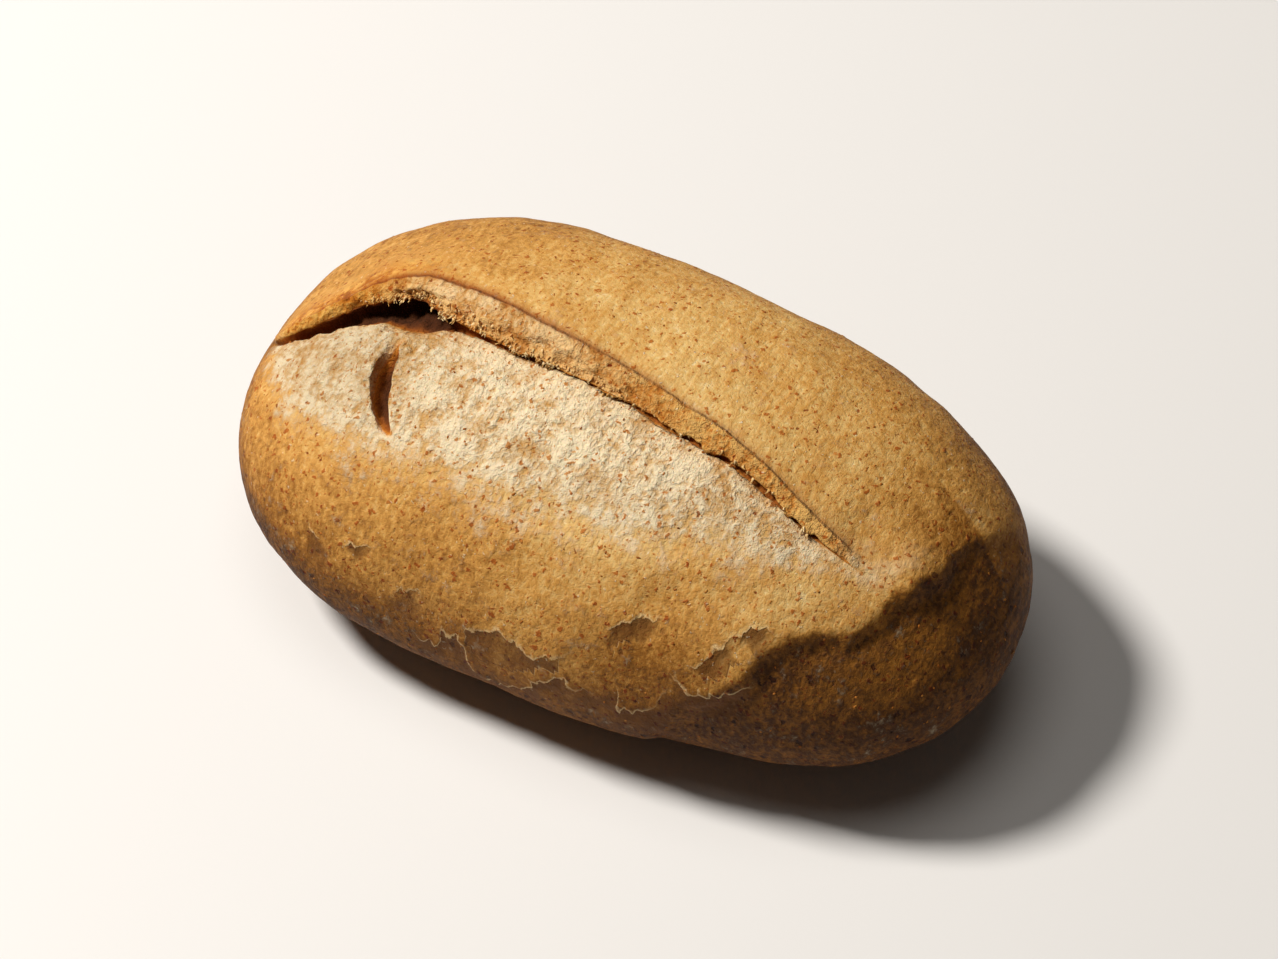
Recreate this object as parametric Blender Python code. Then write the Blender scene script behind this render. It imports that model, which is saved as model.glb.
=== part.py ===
"""Oval bread roll with one lengthwise slash, baked as a single piece.

The crust is one lofted skin. Rings of points stand at stations along the roll, and each
ring is a superellipse that is flattened where the roll rests. Across the top every ring
carries the slash as a folded stretch: the raised ear, its torn lip, the hollow under it
and the step down to the bared crumb. The crescent crack in the crumb is cut afterwards.

Frame: X along the roll, Y from the front to the back, Z up, the origin in the middle of
the resting face. Metres throughout.
"""

import math

import bmesh
import bpy
from mathutils import Vector

MM = 0.001

# Driving dimensions
LENGTH = 0.125
WIDTH = 0.070
HEIGHT = 0.046
BASE_CUT = 0.003  # how much of the underside is flattened by the baking tray

# Form of the roll
EQUATOR = 0.42  # height of the widest line, as a share of HEIGHT
UPPER_ROUNDNESS = 2.15  # superellipse exponent above the widest line
LOWER_ROUNDNESS = 2.4
PLAN_EXPONENT_LEFT = 3.5  # a higher exponent gives a blunter end, seen from above
PLAN_EXPONENT_RIGHT = 3.9
TAPER = -0.10  # the left end is broader than the right one
LEAN = 0.004  # the top has risen further at the back, behind the slash

# Path of the slash: (station from -1 to 1, place across the top from -1 to 1)
SLASH_PATH = [
    (-1.00, -0.46),
    (-0.90, -0.31),
    (-0.78, -0.16),
    (-0.65, -0.06),
    (-0.50, -0.07),
    (-0.30, -0.14),
    (0.00, -0.19),
    (0.30, -0.27),
    (0.62, -0.41),
    (1.00, -0.50),
]

# How far the ear has lifted above the cut: (station, share of the full profile)
EAR_LIFT = [
    (-0.99, 0.0),
    (-0.93, 0.3),
    (-0.80, 0.75),
    (-0.65, 1.0),
    (-0.30, 1.0),
    (0.00, 0.7),
    (0.30, 0.5),
    (0.55, 0.3),
    (0.66, 0.0),
]

# How far the hollow under the ear has opened: (station, share of the full profile)
OPENING = [
    (-0.99, 0.0),
    (-0.93, 0.25),
    (-0.80, 0.6),
    (-0.70, 0.9),
    (-0.60, 1.0),
    (-0.50, 0.9),
    (-0.40, 0.6),
    (-0.10, 0.45),
    (0.20, 0.35),
    (0.50, 0.3),
    (0.64, 0.0),
]

# Where the ring's points gather at the slash: (station, share)
GATHERING = [(-1.00, 0.0), (-0.94, 1.0), (0.66, 1.0), (0.85, 0.0)]

# Profile across the fully opened slash, in millimetres from the cut:
# (towards the back, above the uncut surface)
SLASH_PROFILE = [
    (17.0, 0.6),
    (13.0, 1.2),
    (9.5, 1.7),
    (6.8, 2.0),  # edge of the crust on the ear
    (5.0, 1.8),
    (3.0, 1.4),
    (1.2, 0.7),
    (0.0, -0.1),  # lower edge of the torn lip
    (0.5, -0.9),
    (2.4, -1.6),  # underside of the ear
    (4.2, -3.0),  # back of the hollow
    (3.2, -4.4),
    (0.8, -4.6),
    (-1.8, -3.6),
    (-3.4, -2.0),  # edge of the crumb
    (-5.2, -1.1),
    (-8.0, -0.5),
    (-12.0, -0.2),
    (-16.0, 0.0),
]
LIP_EDGE = 7  # place of the lip's lower edge in SLASH_PROFILE
CRUMB_EDGE = 14
CLOSED_WIDTH = 1.2  # width in millimetres of the same stretch where the slash is closed

# Crescent crack in the crumb, in plan
CRACK_START = (-0.0365, -0.0048)
CRACK_END = (-0.0306, -0.0194)
CRACK_BULGE_OUTER = 0.0034
CRACK_BULGE_INNER = 0.0009
CRACK_TOP = 0.047
CRACK_FLOOR = 0.0325
CRACK_TAPER = 0.6  # size of the crack's floor beside its mouth
CRACK_STEPS = 10

# Mesh density
STATIONS = 58
LOWER_POINTS = 34

CRUST_COLOUR = (0.50, 0.27, 0.09, 1.0)
CRUST_ROUGHNESS = 0.75


def eased(keys, at):
    """Value at a place between hand-set keys, eased from each key to the next."""
    if at <= keys[0][0]:
        return keys[0][1]
    for (start, low), (end, high) in zip(keys, keys[1:]):
        if at <= end:
            share = (at - start) / (end - start)
            return low + (high - low) * share * share * (3 - 2 * share)
    return keys[-1][1]


def smooth_path(keys, at):
    """Value at a place on a Catmull-Rom curve through hand-set keys."""
    places = [key[0] for key in keys]
    values = [key[1] for key in keys]
    index = 0
    while index < len(keys) - 2 and at > places[index + 1]:
        index += 1

    def slope(key):
        before, after = max(key - 1, 0), min(key + 1, len(keys) - 1)
        return (values[after] - values[before]) / (places[after] - places[before])

    span = places[index + 1] - places[index]
    t = min(max((at - places[index]) / span, 0.0), 1.0)
    start_slope, end_slope = slope(index) * span, slope(index + 1) * span
    return (
        (2 * t**3 - 3 * t**2 + 1) * values[index]
        + (t**3 - 2 * t**2 + t) * start_slope
        + (3 * t**2 - 2 * t**3) * values[index + 1]
        + (t**3 - t**2) * end_slope
    )


def ring_size(station):
    """Half width and share of the full height of the ring at a station."""
    reach = abs(station)
    blend = eased([(-1.0, 0.0), (1.0, 1.0)], station)
    exponent = PLAN_EXPONENT_LEFT * (1 - blend) + PLAN_EXPONENT_RIGHT * blend
    half_width = WIDTH / 2 * math.sqrt(1 - reach**exponent) * (1 + TAPER * station)
    return half_width, math.sqrt(1 - reach**2)


def skin_point(station, across, rise):
    """Point of the skin from its place across (-1 to 1) and its rise (-1 to 1) in the ring."""
    half_width, height_share = ring_size(station)
    equator = EQUATOR * HEIGHT
    reach = HEIGHT - equator if rise >= 0 else equator + BASE_CUT
    z = equator + reach * height_share * rise
    y = half_width * across + LEAN * (z - equator) / (HEIGHT - equator)
    return Vector((LENGTH / 2 * station, y, max(z, 0.0)))


def top_point(station, across):
    """Point of the uncut top at a place across the ring."""
    rise = (1 - abs(across) ** UPPER_ROUNDNESS) ** (1 / UPPER_ROUNDNESS)
    return skin_point(station, across, rise)


def angle_point(station, angle):
    """Point of the skin at an angle in the ring: 0 at the back, 90 degrees on top."""
    cosine, sine = math.cos(angle), math.sin(angle)
    power = 2 / (UPPER_ROUNDNESS if sine >= 0 else LOWER_ROUNDNESS)
    across = math.copysign(abs(cosine) ** power, cosine)
    rise = math.copysign(abs(sine) ** power, sine)
    return skin_point(station, across, rise)


def across_to_angle(across):
    """Angle in the upper half of the ring at a place across it."""
    return math.acos(math.copysign(abs(across) ** (UPPER_ROUNDNESS / 2), across))


def top_normal(station, across):
    """Outward direction of the uncut top."""
    step = 0.004
    along = top_point(station + step, across) - top_point(station - step, across)
    sideways = top_point(station, across + step) - top_point(station, across - step)
    return along.cross(sideways).normalized()


def slash_points(station):
    """The stretch of a ring that carries the slash, from the back to the front."""
    cut = smooth_path(SLASH_PATH, station)
    lifted, opened = eased(EAR_LIFT, station), eased(OPENING, station)
    gathered = eased(GATHERING, station)
    normal = top_normal(min(max(station, -0.97), 0.97), cut)
    count = len(SLASH_PROFILE)
    first, last = SLASH_PROFILE[0][0], SLASH_PROFILE[-1][0]
    fold = CRUMB_EDGE - LIP_EDGE
    points = []
    for index, (back, above) in enumerate(SLASH_PROFILE):
        even = first + (last - first) * index / (count - 1)
        folded = min(max((index - LIP_EDGE) / fold, 0.0), 1.0)
        if index < LIP_EDGE or index > CRUMB_EDGE:
            closed = back
        else:
            closed = -CLOSED_WIDTH * folded
        share = lifted if index <= LIP_EDGE else opened
        narrow = closed + (back - closed) * share
        offset = even + (narrow - even) * gathered
        across = cut + offset * MM / (WIDTH / 2)
        points.append(top_point(station, across) + normal * above * MM * share)
    ends = (cut + last * MM / (WIDTH / 2), cut + first * MM / (WIDTH / 2))
    return points, ends


def ring(station):
    """All points of one ring, from the back of the slash over the front and round below."""
    points, (front, back) = slash_points(station)
    start = across_to_angle(front)
    turn = 2 * math.pi + across_to_angle(back) - start
    for index in range(1, LOWER_POINTS + 1):
        points.append(angle_point(station, start + turn * index / (LOWER_POINTS + 1)))
    return points


def build_roll():
    """The whole roll, before the crescent crack is cut."""
    mesh = bmesh.new()
    rings = []
    for index in range(1, STATIONS):
        station = -math.cos(math.pi * index / STATIONS)
        rings.append([mesh.verts.new(point) for point in ring(station)])
    for before, after in zip(rings, rings[1:]):
        for index in range(len(before)):
            following = (index + 1) % len(before)
            mesh.faces.new((before[index], before[following], after[following], after[index]))
    for end, tip in ((rings[0], -1), (rings[-1], 1)):
        pole = mesh.verts.new((tip * LENGTH / 2, 0, EQUATOR * HEIGHT))
        for index, vert in enumerate(end):
            following = end[(index + 1) % len(end)]
            mesh.faces.new((pole, following, vert) if tip < 0 else (pole, vert, following))
    bmesh.ops.recalc_face_normals(mesh, faces=mesh.faces)
    return finish_object("bread_roll", mesh)


def crescent(scale, z):
    """Closed outline of the crack at a height: out along one arc, back along the other."""
    start, end = Vector(CRACK_START), Vector(CRACK_END)
    middle, chord = (start + end) / 2, end - start
    outward = Vector((chord.y, -chord.x)).normalized()
    outline = []
    for step in range(CRACK_STEPS + 1):
        share = step / CRACK_STEPS
        bulge = CRACK_BULGE_OUTER * math.sin(math.pi * share)
        outline.append(start + chord * share + outward * bulge)
    for step in range(1, CRACK_STEPS):
        share = 1 - step / CRACK_STEPS
        bulge = CRACK_BULGE_INNER * math.sin(math.pi * share)
        outline.append(start + chord * share + outward * bulge)
    belly = middle + outward * CRACK_BULGE_INNER
    return [(*(belly + (point - belly) * scale), z) for point in outline]


def build_crack_cutter():
    """Tapered crescent prism that cuts the crack."""
    mesh = bmesh.new()
    floor = [mesh.verts.new(point) for point in crescent(CRACK_TAPER, CRACK_FLOOR)]
    mouth = [mesh.verts.new(point) for point in crescent(1.0, CRACK_TOP)]
    for index in range(len(floor)):
        following = (index + 1) % len(floor)
        mesh.faces.new((floor[index], floor[following], mouth[following], mouth[index]))
    mesh.faces.new(floor)
    mesh.faces.new(mouth)
    bmesh.ops.recalc_face_normals(mesh, faces=mesh.faces)
    cutter = finish_object("crack_cutter", mesh)
    cutter.hide_render = True
    cutter.display_type = "WIRE"
    return cutter


def finish_object(name, mesh):
    """Put a finished bmesh into the scene as a smooth-shaded object."""
    data = bpy.data.meshes.new(name)
    mesh.to_mesh(data)
    mesh.free()
    data.shade_smooth()
    result = bpy.data.objects.new(name, data)
    bpy.context.scene.collection.objects.link(result)
    return result


def crust_material():
    """Golden brown wholemeal crust."""
    material = bpy.data.materials.new("crust")
    material.use_nodes = True
    shader = material.node_tree.nodes["Principled BSDF"]
    shader.inputs["Base Color"].default_value = CRUST_COLOUR
    shader.inputs["Roughness"].default_value = CRUST_ROUGHNESS
    shader.inputs["Metallic"].default_value = 0.0
    return material


def main():
    """Clear the scene and build the roll."""
    for item in list(bpy.data.objects):
        bpy.data.objects.remove(item, do_unlink=True)
    roll = build_roll()
    roll.data.materials.append(crust_material())
    cut = roll.modifiers.new("crack", "BOOLEAN")
    cut.operation = "DIFFERENCE"
    cut.solver = "EXACT"
    cut.object = build_crack_cutter()


main()
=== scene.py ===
import itertools
import math

import bmesh
import bpy
import numpy as np
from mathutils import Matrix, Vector


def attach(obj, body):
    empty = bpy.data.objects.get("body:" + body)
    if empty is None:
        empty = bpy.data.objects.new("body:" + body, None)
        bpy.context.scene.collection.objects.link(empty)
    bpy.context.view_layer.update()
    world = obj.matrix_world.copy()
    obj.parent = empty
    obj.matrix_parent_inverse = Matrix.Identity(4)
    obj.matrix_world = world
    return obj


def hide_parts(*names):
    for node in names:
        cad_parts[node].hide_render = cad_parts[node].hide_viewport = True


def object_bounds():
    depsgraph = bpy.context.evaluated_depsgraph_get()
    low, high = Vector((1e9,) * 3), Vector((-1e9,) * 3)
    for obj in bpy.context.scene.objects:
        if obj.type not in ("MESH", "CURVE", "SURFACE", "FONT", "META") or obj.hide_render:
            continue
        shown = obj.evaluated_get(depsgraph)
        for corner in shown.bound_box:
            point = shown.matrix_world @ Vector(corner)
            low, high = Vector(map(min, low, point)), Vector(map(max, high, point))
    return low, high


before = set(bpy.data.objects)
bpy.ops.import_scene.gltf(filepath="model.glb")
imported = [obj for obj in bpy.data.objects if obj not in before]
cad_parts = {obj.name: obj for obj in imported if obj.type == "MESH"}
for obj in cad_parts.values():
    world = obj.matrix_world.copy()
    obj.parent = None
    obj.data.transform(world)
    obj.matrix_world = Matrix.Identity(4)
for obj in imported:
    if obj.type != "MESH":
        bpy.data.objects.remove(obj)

cadLow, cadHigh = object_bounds()  # the CAD model's own box, before anything is added
mm = 0.001


def easeSteps(keys, at):
    # values between given keys, eased from each key to the next
    places, values = np.array(keys, float).T
    index = np.clip(np.searchsorted(places, at, side="right") - 1, 0, len(places) - 2)
    t = np.clip((at - places[index]) / (places[index + 1] - places[index]), 0, 1)
    return values[index] + (values[index + 1] - values[index]) * t * t * (3 - 2 * t)


def curveThrough(keys, at):
    # values on a Catmull-Rom curve through given keys
    places, values = np.array(keys, float).T
    before = np.maximum(np.arange(len(places)) - 1, 0)
    after = np.minimum(np.arange(len(places)) + 1, len(places) - 1)
    slopes = (values[after] - values[before]) / (places[after] - places[before])
    index = np.clip(np.searchsorted(places, at, side="right") - 1, 0, len(places) - 2)
    span = places[index + 1] - places[index]
    t = np.clip((at - places[index]) / span, 0, 1)
    return ((2 * t**3 - 3 * t**2 + 1) * values[index] + (t**3 - 2 * t**2 + t) * slopes[index] * span
            + (3 * t**2 - 2 * t**3) * values[index + 1] + (t**3 - t**2) * slopes[index + 1] * span)


def ramp(low, high, x):
    t = np.clip((x - low) / (high - low), 0, 1)
    return t * t * (3 - 2 * t)


def bell(x, middle, width):
    return np.exp(-((x - middle) / width) ** 2)


def cellNumber(cell, seed):
    # the same number from 0 to 1 each run for a cell of the noise lattice
    x, y, z = (cell[..., axis].astype(np.int64) for axis in range(3))
    h = (x * 374761393 + y * 668265263 + z * 974711693 + seed * 144269504) & 0xffffffff
    h = ((h ^ (h >> 13)) * 1274126177) & 0xffffffff
    return ((h ^ (h >> 16)) & 0xffffff) / 0xffffff


latticeTurn = np.array([[0.80, 0.36, -0.48], [-0.60, 0.48, -0.64], [0.0, 0.80, 0.60]])


def lumps(points, size, seed, octaves=1):
    # smooth noise from -1 to 1 whose lumps are about size across, in the points' unit
    total, strength, most = 0.0, 1.0, 0.0
    for octave in range(octaves):
        at = points @ latticeTurn * (2**octave / size) + 31.7 * octave
        cell = np.floor(at)
        f = at - cell
        f = f * f * f * (f * (f * 6 - 15) + 10)
        value = 0.0
        for corner in itertools.product((0, 1), repeat=3):
            weight = np.prod(np.where(corner, f, 1 - f), axis=-1)
            value = value + weight * cellNumber(cell + corner, seed + octave)
        total = total + strength * (value * 2 - 1)
        most += strength
        strength *= 0.55
    return total / most


# the shape of the roll, in millimetres
roll = {
    "widthShare": 70 / 72.2,  # width of the plain form within the box, without its bulge
    "heightShare": 46 / 47.4,  # height of the plain form, below the lifted ear
    "baseCut": 3.0,  # flattened by the baking tray
    "equator": 0.42,
    "upperRoundness": 2.15,
    "lowerRoundness": 2.4,
    "planLeft": 3.5,
    "planRight": 3.9,
    "taper": -0.10,
    "lean": 4.0,
    "stations": 338,
    "slashPoints": 124,
    "otherPoints": 160,
    "slashPath": [(-1.00, -0.46), (-0.90, -0.31), (-0.78, -0.15), (-0.66, -0.055), (-0.50, -0.075),
                  (-0.30, -0.14), (0.00, -0.19), (0.30, -0.27), (0.62, -0.415), (1.00, -0.50)],
    # across the slash: (towards the back, above the plain form), back to front
    "slashProfile": [(24.0, 0.0), (17.0, 0.5), (11.0, 1.5), (6.8, 2.0), (5.0, 1.75), (3.0, 1.35),
                     (1.2, 0.75), (0.0, -0.1), (0.5, -0.9), (2.4, -1.6), (4.2, -3.0), (3.2, -4.6),
                     (0.8, -5.0), (-1.8, -4.0), (-3.4, -2.2), (-5.2, -1.1), (-8.0, -0.5), (-12.0, -0.2),
                     (-16.0, 0.0)],
    "crustEdge": 3,  # places in the profile
    "lipEdge": 7,
    "crumbEdge": 14,
    "closedWidth": [(-1.0, 0.4), (-0.5, 0.4), (-0.3, 0.3), (-0.18, 0.12), (0.02, 0.12), (0.12, 0.3),
                    (1.0, 0.35)],
    "lipWidth": [(-1.0, 1.4), (-0.89, 1.7), (-0.80, 2.5), (-0.72, 3.9), (-0.60, 5.0), (-0.36, 4.9),
                 (-0.12, 4.4), (0.03, 3.9), (0.17, 3.3), (0.35, 2.5), (0.57, 1.8), (1.0, 1.8)],
    "lipBack": [(-0.84, 0.0), (-0.74, 1.1), (-0.66, 1.5), (-0.60, 1.3), (-0.53, 0.2), (-0.45, -0.3),
                (-0.20, -0.3), (0.0, 0.0)],
    "earLift": [(-0.99, 0.0), (-0.93, 0.3), (-0.80, 0.75), (-0.65, 1.0), (-0.30, 1.0), (0.00, 0.75),
                (0.30, 0.55), (0.55, 0.35), (0.66, 0.0)],
    "openWidth": [(-0.99, 0.0), (-0.93, 0.12), (-0.86, 0.28), (-0.77, 0.45), (-0.70, 0.75), (-0.62, 1.25),
                  (-0.57, 1.1), (-0.51, 0.3), (-0.46, 0.12), (-0.40, 0.05), (-0.10, 0.0), (0.20, 0.05),
                  (0.50, 0.1), (0.64, 0.0)],
    "openDepth": [(-0.99, 0.0), (-0.93, 0.3), (-0.80, 0.6), (-0.60, 0.75), (-0.50, 0.6), (-0.42, 0.42),
                  (-0.28, 0.26), (-0.18, 0.13), (0.02, 0.13), (0.20, 0.2), (0.50, 0.2), (0.64, 0.0)],
    "gathering": [(-1.00, 0.0), (-0.95, 1.0), (0.66, 1.0), (0.85, 0.0)],
    "crumbFront": [(-1.0, -0.50), (-0.93, -0.62), (-0.88, -0.68), (-0.82, -0.73), (-0.72, -0.76),
                   (-0.60, -0.78), (-0.43, -0.77), (-0.22, -0.79), (0.00, -0.78), (0.17, -0.76),
                   (0.33, -0.67), (0.51, -0.59), (0.65, -0.50), (1.0, -0.45)],
    "crumbEnds": [(-0.975, 0.0), (-0.91, 1.0), (0.62, 1.0), (0.74, 0.0)],
    # browning with painted shade, by the angle round a ring, 0 at the back and 90 on top, and by the place
    # along the roll; the darker bottom and right end are partly painted shade
    "bakeAndShadeRound": [(-20, 1.0), (0, 0.8), (25, 0.5), (50, 0.22), (80, 0.10), (105, 0.0), (130, 0.04),
                  (145, 0.10), (160, 0.18), (172, 0.34), (185, 0.7), (200, 0.9), (270, 0.75), (340, 1.0),
                  (360, 0.8), (385, 0.5), (410, 0.22), (440, 0.10)],
    "bakeAndShadeAlong": [(-1.0, 0.22), (-0.8, 0.20), (-0.5, 0.16), (-0.2, 0.04), (0.1, 0.0), (0.35, 0.09),
                  (0.5, 0.10), (0.8, 0.22), (1.0, 0.35)],
    "bakeAndShadeAtEnds": [(8, 0.80), (20, 0.55), (34, 0.12)],  # by height in mm, where the angles all meet
    # browner spots, the one near the right end painted shade: (strength, place along, its spread, angle in
    # degrees, its spread)
    "bakeAndShadeSpots": [(0.18, -0.2, 0.25, 150, 20), (0.34, 0.82, 0.12, 82, 24), (0.32, 0.32, 0.14, 165, 14)],
    # flour caught past the right end of the slash, the second patch a painted highlight on the knob there:
    # (share, place, spread) in mm
    "flourAndHighlightPatches": [(1.0, (43.5, -9.0, 37.0), (5.0, 2.2, 4.0)), (0.7, (47.5, -6.0, 36.0), (2.6, 3.6, 4.0))],
}
roll["length"] = (cadHigh.x - cadLow.x) / mm
roll["width"] = (cadHigh.y - cadLow.y) / mm * roll["widthShare"]
roll["height"] = (cadHigh.z - cadLow.z) / mm * roll["heightShare"]


def skinPoint(station, across, rise):
    # a point of the plain form from its place along (-1 to 1), across and up its ring
    reach = np.abs(station)
    blend = ramp(-1, 1, station)
    exponent = roll["planLeft"] * (1 - blend) + roll["planRight"] * blend
    halfWidth = roll["width"] / 2 * np.sqrt(1 - reach**exponent) * (1 + roll["taper"] * station)
    equator = roll["equator"] * roll["height"]
    over = roll["height"] - equator
    span = np.where(rise >= 0, over, equator + roll["baseCut"]) * np.sqrt(1 - reach**2)
    z = equator + span * rise
    y = halfWidth * across + roll["lean"] * (z - equator) / over
    x = roll["length"] / 2 * station
    return np.stack(np.broadcast_arrays(x, y, np.maximum(z, 0)), -1)


def topPoint(station, across):
    power = roll["upperRoundness"]
    return skinPoint(station, across, (1 - np.abs(across) ** power) ** (1 / power))


def anglePoint(station, angle):
    cosine, sine = np.cos(angle), np.sin(angle)
    power = 2 / np.where(sine >= 0, roll["upperRoundness"], roll["lowerRoundness"])
    across = np.sign(cosine) * np.abs(cosine) ** power
    return skinPoint(station, across, np.sign(sine) * np.abs(sine) ** power), across


def gridNormals(grid):
    along = np.gradient(grid, axis=0)
    around = np.roll(grid, -1, axis=1) - np.roll(grid, 1, axis=1)
    normals = np.cross(around, along)
    return normals / (np.linalg.norm(normals, axis=-1, keepdims=True) + 1e-9)


def plainGrid():
    # rings of points along the roll, each from the back of the slash over the front and round below
    turn = np.linspace(0, math.pi, 4000)
    density = 1 + 0.5 * bell(-np.cos(turn), -0.45, 0.4) + 1.1 * bell(-np.cos(turn), -0.555, 0.035)
    length = np.concatenate([[0], np.cumsum((density[1:] + density[:-1]) / 2)])
    turn = np.interp(np.linspace(0, length[-1], roll["stations"] + 2)[1:-1], length, turn)
    station = -np.cos(turn)[:, None]

    profile = np.array(roll["slashProfile"])
    keys = np.arange(len(profile))
    fine = np.linspace(0, len(profile) - 1, 3000)
    back, above = (curveThrough(np.stack([keys, profile[:, side]], 1), fine) for side in (0, 1))
    length = np.concatenate([[0], np.cumsum(np.hypot(np.diff(back), np.diff(above)))])
    t = np.interp(np.linspace(0, length[-1], roll["slashPoints"]), length, fine)[None, :]
    back, above = np.interp(t, fine, back), np.interp(t, fine, above)

    # the widths of the lip and of the hollow change along the slash
    lipWidth = easeSteps(roll["lipWidth"], station)
    edge, outer = profile[roll["crustEdge"], 0], profile[0, 0]
    lipBack = np.where(back <= edge, back * lipWidth / edge,
                       lipWidth + (back - edge) * (outer - lipWidth) / (outer - edge))
    folded = np.clip((t - roll["lipEdge"]) / (roll["crumbEdge"] - roll["lipEdge"]), 0, 1)
    settle = ramp(roll["crumbEdge"], roll["crumbEdge"] + 1, t)
    shut = -easeSteps(roll["closedWidth"], station) * folded * (1 - settle) + back * settle
    openWidth = easeSteps(roll["openWidth"], station)
    hollowBack = shut + (back - shut) * openWidth
    inHollow = t > roll["lipEdge"]
    drawnBack = easeSteps(roll["lipBack"], station) * np.where(inHollow, 1 - ramp(7, 11, t), ramp(3.4, 7, t))
    offset = np.where(inHollow, hollowBack, lipBack) + drawnBack
    depth, rise = easeSteps(roll["openDepth"], station), easeSteps(roll["earLift"], station)
    lift = above * np.where(inHollow, depth, rise)

    # torn teeth along the lower edge of the lip
    xOnly = np.concatenate([station * roll["length"] / 2, np.zeros((len(station), 2))], 1)
    torn = ramp(-0.92, -0.80, station) * (1 - 0.55 * ramp(-0.15, 0.05, station))
    teeth = (2.1 * np.maximum(lumps(xOnly, 1.3, 5), 0) + 0.8 * lumps(xOnly, 3.7, 6))[:, None] * torn
    offset = offset - teeth * bell(t, roll["lipEdge"] - 0.15, 0.75)
    lift = lift - 0.35 * teeth * bell(t, roll["lipEdge"], 0.6)

    even = profile[0, 0] + (profile[-1, 0] - profile[0, 0]) * t / t.max()
    gathered = easeSteps(roll["gathering"], station)
    cut = curveThrough(roll["slashPath"], station)
    slashAcross = cut + (even + (offset - even) * gathered) / (roll["width"] / 2)
    step = 0.004
    inner = np.clip(station, -0.97, 0.97)
    tangent = topPoint(inner + step, cut) - topPoint(inner - step, cut)
    sideways = topPoint(inner, cut + step) - topPoint(inner, cut - step)
    normal = np.cross(tangent, sideways)
    normal /= np.linalg.norm(normal, axis=-1, keepdims=True)
    slashPart = topPoint(station, slashAcross) + normal * lift[..., None]

    # the rest of each ring, dense on the front, sparse below
    frontAcross, backAcross = slashAcross[:, -1:], slashAcross[:, :1]
    toAngle = lambda across: np.arccos(np.sign(across) * np.abs(across) ** (roll["upperRoundness"] / 2))
    start, end = toAngle(frontAcross), 2 * math.pi + toAngle(backAcross)
    share = np.arange(1, roll["otherPoints"] + 1) / (roll["otherPoints"] + 1)
    lowFront, lowBack = math.radians(203), math.radians(340)
    angle = np.where(share < 0.44, start + (lowFront - start) * share / 0.44,
                     np.where(share < 0.62, lowFront + (lowBack - lowFront) * (share - 0.44) / 0.18,
                              lowBack + (end - lowBack) * (share - 0.62) / 0.38))
    rest, restAcross = anglePoint(station, angle)

    grid = np.concatenate([slashPart, rest], 1)
    wide = lambda a, b: np.concatenate([np.broadcast_to(a, slashPart.shape[:2]),
                                        np.broadcast_to(b, rest.shape[:2])], 1)
    place = {
        "station": wide(station, station),
        "across": wide(slashAcross, restAcross),
        "angle": wide(toAngle(slashAcross), angle),
        "profile": wide(t, 99.0),
        "cut": wide(cut, cut),
        "gathered": wide(gathered, gathered),
    }
    return grid, place


# a second, short tear in the crumb: a crescent that bulges to the left
tear = {
    "start": (-36.9, -3.4),
    "end": (-30.2, -21.0),
    "bulge": 2.5,
    "width": 3.2,
    "depth": 3.4,
    "slant": 0.75,  # mm that its floor lies right of the middle
    "reach": 3.8,  # how far the crumb beside it is drawn apart
    "rim": 0.62,  # share of that reach that goes down into the tear
}


def openTear(grid):
    # draw the rows of points apart along the crescent and sink the middle ones
    (startX, startY), (endX, endY) = tear["start"], tear["end"]
    along = (startY - grid[..., 1]) / (startY - endY)
    arch = np.clip(4 * along * (1 - along), 0, 1)
    rough = grid.copy()
    rough[..., 0] = 0
    middle = startX + (endX - startX) * along - tear["bulge"] * arch + 0.25 * lumps(rough, 1.6, 80, 2)
    opened = ramp(-0.03, 0.24, along) * (1 - ramp(0.85, 1.03, along)) * (grid[..., 2] > 25)
    half = 0.04 + (tear["width"] / 2 - 0.04) * arch**0.8 * ramp(-0.05, 0.25, along)
    reach, rim = tear["reach"], tear["rim"]
    side = (grid[..., 0] - middle) / reach
    share = np.minimum(np.abs(side), 1)
    beside = half + (reach - half) * (share - rim) / (1 - rim)
    wall = half * np.interp(share / rim, [0, 0.3, 0.7, 1], [0, 0.62, 0.86, 1])
    drawn = np.where(share > rim, beside, wall)
    sunk = np.interp(share / rim, [0, 0.25, 1], [1, 0.92, 0]) * tear["depth"] * arch**0.9 * opened
    near = np.abs(side) < 1
    grid = grid.copy()
    slant = np.interp(share / rim, [0, 0.5, 1], [tear["slant"], 0.3, 0])
    shift = (np.sign(side) * (drawn - share * reach) + slant) * opened
    grid[..., 0] += np.where(near, shift, 0)
    grid[..., 2] -= np.where(near, sunk, 0)
    # the returned mask paints shade into the tear: darker deeper down, its left wall lighter and its undercut
    # right wall darkest
    return grid, np.where(near, sunk / tear["depth"] * (0.2 + 0.8 * ramp(-0.32, 0.1, side)), 0)


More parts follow.
